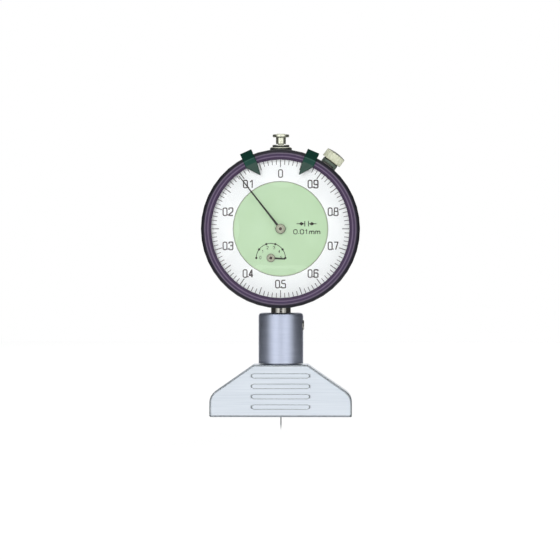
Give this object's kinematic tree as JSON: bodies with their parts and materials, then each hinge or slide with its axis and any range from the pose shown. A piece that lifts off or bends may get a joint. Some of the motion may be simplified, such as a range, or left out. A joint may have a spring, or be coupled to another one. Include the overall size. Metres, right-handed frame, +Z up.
{
  "type": "dial depth gauge",
  "caption": "Dial depth gauge: turning bezel with limit markers and clamp knob, geared hands, sprung lift spindle and needle, clamped in a column on a flat reference base.",
  "frame": {"origin": "centre of the overall box at the needle's tip, the lowest point with the spindle fully out", "axes": "+Z up along the spindle, +X to the right as the dial is read, -Y out of the dial towards the reader"},
  "size_m": [0.057, 0.0228, 0.107],
  "materials": {
    "ground_steel": "finely ground",
    "satin_steel": "satin",
    "polished_steel": "polished",
    "blued_spring": "blued",
    "nickel_plate": "bright nickel plate",
    "silvered_brass": "silvered",
    "brass": "turned and brushed",
    "bronze": "turned",
    "black_anodised_alloy": "black anodised",
    "bezel_plastic": "satin black",
    "black_rubber": "matt",
    "white_enamel": "satin white enamel",
    "pale_green_enamel": "satin pale green enamel",
    "green_marker_plastic": "moulded dark green",
    "ivory_plastic": "moulded ivory grey",
    "black_lacquer": "black lacquer",
    "crystal_glass": "clear polished"
  },
  "bodies": {
    "frame": {"base": "ground_steel", "column": "satin_steel", "column_clamp_screw": "polished_steel", "stem": "polished_steel", "stem_bush": "bronze", "case": "black_anodised_alloy", "back_gasket": "black_rubber", "back_cover": "black_anodised_alloy", "back_cover_screw_1": "polished_steel", "back_cover_screw_2": "polished_steel", "back_cover_screw_3": "polished_steel", "back_cover_screw_4": "polished_steel", "upper_bush": "black_anodised_alloy", "bezel_clamp_boss": "black_anodised_alloy", "bezel_clamp_shoe": "polished_steel", "bezel_retaining_ring": "polished_steel", "centre_dial": "pale_green_enamel", "movement_plate": "brass", "rear_bridge": "brass", "plate_screw_1": "polished_steel", "plate_screw_2": "polished_steel", "plate_screw_3": "polished_steel", "plate_screw_4": "polished_steel", "bridge_screw_1": "polished_steel", "bridge_screw_2": "polished_steel", "arbor_bush_1": "bronze", "arbor_bush_2": "bronze", "spring_anchor": "polished_steel", "hairspring": "blued_spring", "hairspring_stud": "brass"},
    "bezel_ring": {"bezel": "bezel_plastic", "crystal": "crystal_glass", "crystal_gasket": "black_rubber", "dial_ring": "white_enamel"},
    "left_marker": {"limit_marker_left": "green_marker_plastic"},
    "right_marker": {"limit_marker_right": "green_marker_plastic"},
    "clamp_knob": {"bezel_clamp_knob": "ivory_plastic"},
    "plunger": {"spindle": "polished_steel", "lift_cap": "nickel_plate", "needle_holder": "polished_steel", "needle": "polished_steel", "guide_pin": "polished_steel", "spring_post": "polished_steel", "return_spring": "polished_steel"},
    "counter_arbor": {"rack_pinion": "polished_steel", "rack_wheel": "brass", "small_hand": "black_lacquer", "small_hand_boss": "silvered_brass"},
    "centre_arbor": {"centre_pinion": "polished_steel", "main_hand": "black_lacquer", "main_hand_boss": "silvered_brass"},
    "take_up": {"take_up_wheel": "brass", "take_up_arbor": "polished_steel", "hairspring_collet": "brass"}
  },
  "joints": [
    {"name": "spindle_slide", "type": "slide", "parent": "frame", "child": "plunger", "axis": [0, 0, 1], "range_m": [0, 0.0054], "stiffness_N_per_m": 60, "springref_m": -0.012, "deforming": ["return_spring"]},
    {"name": "bezel_turn", "type": "hinge", "parent": "frame", "child": "bezel_ring", "pos_m": [0, 0.00272, 0.07271], "axis": [0, 1, 0], "continuous": true},
    {"name": "limit_marker_left_turn", "type": "hinge", "parent": "bezel_ring", "child": "left_marker", "pos_m": [0, 0.00272, 0.07271], "axis": [0, 1, 0], "range_deg": [-150, 18]},
    {"name": "limit_marker_right_turn", "type": "hinge", "parent": "bezel_ring", "child": "right_marker", "pos_m": [0, 0.00272, 0.07271], "axis": [0, 1, 0], "range_deg": [-16, 150]},
    {"name": "clamp_knob_turn", "type": "hinge", "parent": "frame", "child": "clamp_knob", "pos_m": [0.01908, 0.00213, 0.0984], "axis": [0.5962, 0, 0.8028], "range_deg": [0, 270]},
    {"name": "rack_pinion_spin", "type": "hinge", "parent": "frame", "child": "counter_arbor", "pos_m": [-0.00347, 0.00272, 0.06227], "axis": [0, 1, 0], "range_deg": [-194.5, 0]},
    {"name": "centre_pinion_spin", "type": "hinge", "parent": "frame", "child": "centre_arbor", "pos_m": [0, 0.00272, 0.07271], "axis": [0, 1, 0], "range_deg": [0, 1945]},
    {"name": "take_up_wheel_spin", "type": "hinge", "parent": "frame", "child": "take_up", "pos_m": [0.00268, 0.00272, 0.08077], "axis": [0, 1, 0], "range_deg": [-259.5, 0]}
  ],
  "couplings": [
    {"joint": "rack_pinion_spin", "follows": "spindle_slide", "rad_per_m": -628.32},
    {"joint": "centre_pinion_spin", "follows": "spindle_slide", "rad_per_m": 6283.2},
    {"joint": "take_up_wheel_spin", "follows": "spindle_slide", "rad_per_m": -837.76}
  ]
}
